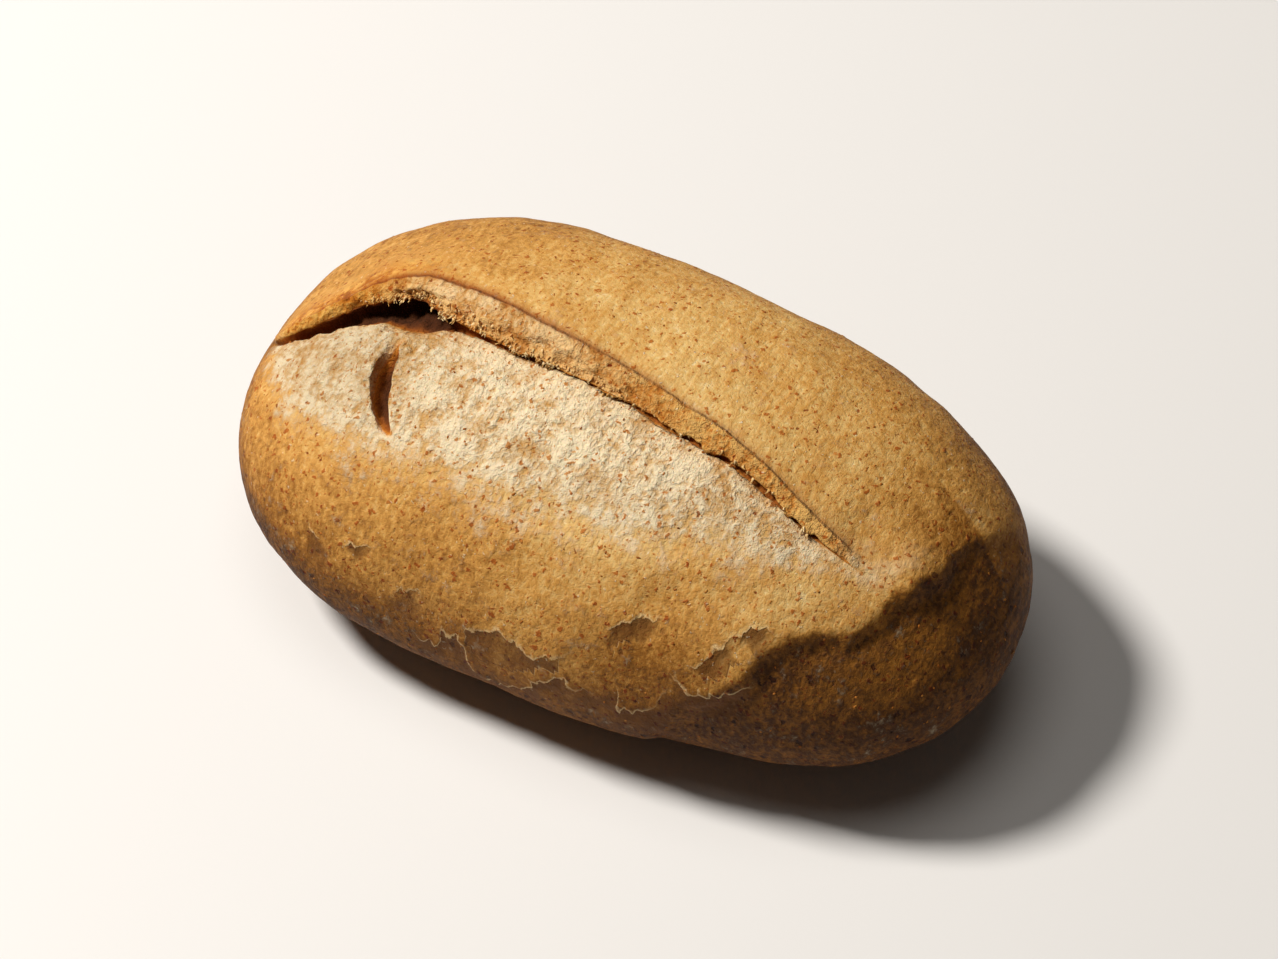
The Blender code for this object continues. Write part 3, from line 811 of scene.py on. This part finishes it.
def shredShape(tree, given):
    # a tapered fibre one unit long that bends over and is a little flat
    cone = addNode(tree, "GeometryNodeMeshCone", {"fill_type": "NGON"}, Vertices=6, Side_Segments=4,
                   Radius_Top=0.04, Radius_Bottom=0.32, Depth=1.0)
    at = addNode(tree, "ShaderNodeSeparateXYZ", None, Vector=addNode(tree, "GeometryNodeInputPosition"))
    squared = addNode(tree, mathKind, multiply, i0=at.outputs["Z"], i1=at.outputs["Z"])
    over = addNode(tree, mathKind, multiply, i0=squared, i1=given["Bend"])
    flat = addNode(tree, mathKind, multiply, i0=at.outputs["Y"], i1=-0.4)
    offset = addNode(tree, "ShaderNodeCombineXYZ", None, X=over, Y=flat)
    crumple = addNode(tree, "ShaderNodeTexNoise", None, Vector=addNode(tree, "GeometryNodeInputPosition"),
                      Scale=3.0, Detail=1.0)
    shift = addNode(tree, "ShaderNodeVectorMath", multiplyAdd, i0=crumple.outputs["Color"],
                    i1=(0.8, 0.8, 0.4), i2=(-0.4, -0.4, -0.2))
    both = addNode(tree, "ShaderNodeVectorMath", add, i0=offset, i1=shift)
    return addNode(tree, "GeometryNodeSetPosition", None, Geometry=cone, Offset=both)


def flakeShape(tree, given):
    # a flat chip of bran, one unit long, set a little into the skin
    ball = addNode(tree, "GeometryNodeMeshIcoSphere", None, Radius=0.5, Subdivisions=1)
    crumple = addNode(tree, "ShaderNodeTexNoise", None, Vector=addNode(tree, "GeometryNodeInputPosition"),
                      Scale=2.5)
    shift = addNode(tree, "ShaderNodeVectorMath", multiplyAdd, i0=crumple.outputs["Color"],
                    i1=(0.5, 0.5, 0.5), i2=(-0.25, -0.25, -0.25))
    bent = addNode(tree, "GeometryNodeSetPosition", None, Geometry=ball, Offset=shift)
    return addNode(tree, "GeometryNodeTransform", None, Geometry=bent, Scale=(1.0, 0.6, 0.2),
                   Translation=(0, 0, -0.05))


def grow(name, values, shape, host):
    # run the nodes on the host's skin and keep the result as a plain mesh
    carrier = bpy.data.objects.new(name + "_host", host)
    bpy.context.scene.collection.objects.link(carrier)
    modifier = carrier.modifiers.new(name, "NODES")
    tree = scatterTree(name, values, shape)
    modifier.node_group = tree
    for item in tree.interface.items_tree:
        if item.in_out == "INPUT" and item.name in values:
            modifier[item.identifier] = values[item.name]
    evaluated = carrier.evaluated_get(bpy.context.evaluated_depsgraph_get())
    mesh = bpy.data.meshes.new_from_object(evaluated)
    bpy.data.objects.remove(carrier)
    mesh.name = name
    mesh.shade_smooth()
    piece = bpy.data.objects.new(name, mesh)
    bpy.context.scene.collection.objects.link(piece)
    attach(piece, "root")
    print(name + ":", len(mesh.polygons), "faces")
    return piece


def hostMesh(growth, lie):
    # the roll's skin with how thickly things grow on each point, and which way they lie
    host = rollPiece.data.copy()
    thick = np.append(growth.reshape(-1), [0, 0]).astype(np.float32)
    host.attributes.new("growth", "FLOAT", "POINT").data.foreach_set("value", thick)
    flat = np.concatenate([lie.reshape(-1, 3), [[-1, 0, 0], [1, 0, 0]]]).astype(np.float32)
    host.attributes.new("lie", "FLOAT_VECTOR", "POINT").data.foreach_set("vector", flat.reshape(-1))
    return host


# one dry, matt, slightly translucent surface whose colour wanders
def plainMaterial(name, colours, size, roughness):
    material = bpy.data.materials.new(name)
    material.use_nodes = True
    tree = material.node_tree
    place = addNode(tree, "ShaderNodeTexCoord").outputs["Object"]
    uneven = addNode(tree, "ShaderNodeTexNoise", None, Vector=place, Scale=1 / (size * mm), Detail=3.0)
    mixed = addNode(tree, "ShaderNodeValToRGB", None, Fac=uneven)
    fillRamp(mixed.color_ramp, colours)
    shader = tree.nodes["Principled BSDF"]
    tree.links.new(mixed.outputs["Color"], shader.inputs["Base Color"])
    shader.inputs["Roughness"].default_value = roughness
    shader.inputs["IOR"].default_value = 1.45
    shader.inputs["Specular IOR Level"].default_value = 0.2
    shader.inputs["Subsurface Weight"].default_value = 0.1
    shader.inputs["Subsurface Radius"].default_value = (1.0, 0.45, 0.2)
    shader.inputs["Subsurface Scale"].default_value = 0.6 * mm
    return material


# torn wheat crumb: soft, pale and quite matt, toasted where the oven reached it
crumbFibres = plainMaterial("tornCrumb", [(0.3, "#B67A36"), (0.5, "#D9AE6E"), (0.7, "#F0D8A8")], 1.4, 0.92)
# milled wheat bran: flat red-brown husk, a little glossier than the crust round it
milledBran = plainMaterial("milledBran", [(0.3, "#6E380F"), (0.5, "#A65F1E"), (0.7, "#BE7E36")], 3.0, 0.75)

print("growing the torn crumb and the bran")
outward = gridNormals(grid)
t, station = place["profile"], place["station"]
tornZone = bell(t, 6.8, 0.7) * ramp(-0.80, -0.68, station) * (1 - 0.75 * ramp(-0.15, 0.05, station))
tornZone = tornZone * (1 - ramp(0.45, 0.6, station)) * (t < 9)
fibreLie = 0.45 * outward + np.array([0.1, -0.75, -0.3])
shreds = {
    "Per square metre": 4.0e6,
    "Smallest": 0.3 * mm,
    "Largest": 1.0 * mm,
    "Bend": 0.3,
    "Stray": 0.55,
    "Seed": 4,
    "Material": crumbFibres,
}
grow("torn_crumb", shreds, shredShape, hostMesh(tornZone, fibreLie))

branZone = (1 - masks["hollow"]) * (masks["tear"] < 0.02) * (1 - masks["lip"]) * ramp(1.0, 4.0, grid[..., 2])
bran = {
    "Per square metre": 0.04e6,
    "Smallest": 0.35 * mm,
    "Largest": 0.9 * mm,
    "Stray": 0.25,
    "Seed": 7,
    "Material": milledBran,
}
grow("bran_flakes", bran, flakeShape, hostMesh(branZone, outward))

# floor, light and camera
studio = {
    "azimuth": 27.9,
    "elevation": 52.0,
    "distance": 0.700,
    "lens": 132.6,
    "aim": (0.49, -1.2),  # where the camera looks, right of and above the roll's middle, in mm
    "midHeight": 0.025,
    "keyLight": {"direction": (-0.61, -0.08, 0.79), "distance": 1.2, "size": 0.26, "power": 17.3},
    "topLight": {"direction": (-0.1, 0.1, 1.0), "distance": 1.5, "size": 1.0, "power": 3.6},
    "lightColour": "#FFFBF5",
    "roomColour": "#FFF8EE",
    "roomLight": 0.03,
    "paper": "#ECEAE8",
    "paperHalf": 1.5,
    "paperDrop": 0.0002,  # so that it doesn't share a plane with the resting face
}


def placeCamera():
    turn, tilt = math.radians(studio["azimuth"]), math.radians(studio["elevation"])
    back = Vector((math.sin(turn) * math.cos(tilt), -math.cos(turn) * math.cos(tilt), math.sin(tilt)))
    right = Vector((math.cos(turn), math.sin(turn), 0))
    up = back.cross(right)
    target = Vector((0, 0, studio["midHeight"])) + (right * studio["aim"][0] + up * studio["aim"][1]) * mm
    camera = bpy.data.objects.new("camera", bpy.data.cameras.new("camera"))
    camera.data.lens = studio["lens"]
    camera.data.sensor_width = 36
    camera.location = target + back * studio["distance"]
    camera.rotation_euler = (-back).to_track_quat("-Z", "Y").to_euler()
    bpy.context.scene.collection.objects.link(camera)
    bpy.context.scene.camera = camera


def softBox(name, direction, distance, size, power):
    data = bpy.data.lights.new(name, "AREA")
    data.shape = "DISK"
    data.size = size
    data.energy = power
    data.color = linear(studio["lightColour"])[:3]
    lamp = bpy.data.objects.new(name, data)
    towards = Vector(direction).normalized()
    lamp.location = towards * distance + Vector((0, 0, studio["midHeight"]))
    lamp.rotation_euler = (-towards).to_track_quat("-Z", "Y").to_euler()
    bpy.context.scene.collection.objects.link(lamp)


print("placing the camera, light and floor")
placeCamera()
softBox("keyLight", **studio["keyLight"])
softBox("topLight", **studio["topLight"])

floorMesh = bpy.data.meshes.new("floor")
half = studio["paperHalf"]
floorMesh.from_pydata([(-half, -half, 0), (half, -half, 0), (half, half, 0), (-half, half, 0)], [],
                      [(0, 1, 2, 3)])
floor = bpy.data.objects.new("floor", floorMesh)
floor.location.z = -studio["paperDrop"]
bpy.context.scene.collection.objects.link(floor)
# matt studio paper: pale and even, so that only the roll's shadow shows on it
paper = bpy.data.materials.new("studioPaper")
paper.use_nodes = True
paper.node_tree.nodes["Principled BSDF"].inputs["Base Color"].default_value = linear(studio["paper"])
floorMesh.materials.append(paper)

world = bpy.data.worlds.new("studio")
world.use_nodes = True
world.node_tree.nodes["Background"].inputs["Color"].default_value = linear(studio["roomColour"])
world.node_tree.nodes["Background"].inputs["Strength"].default_value = studio["roomLight"]
bpy.context.scene.world = world
bpy.context.scene.view_settings.view_transform = "Standard"
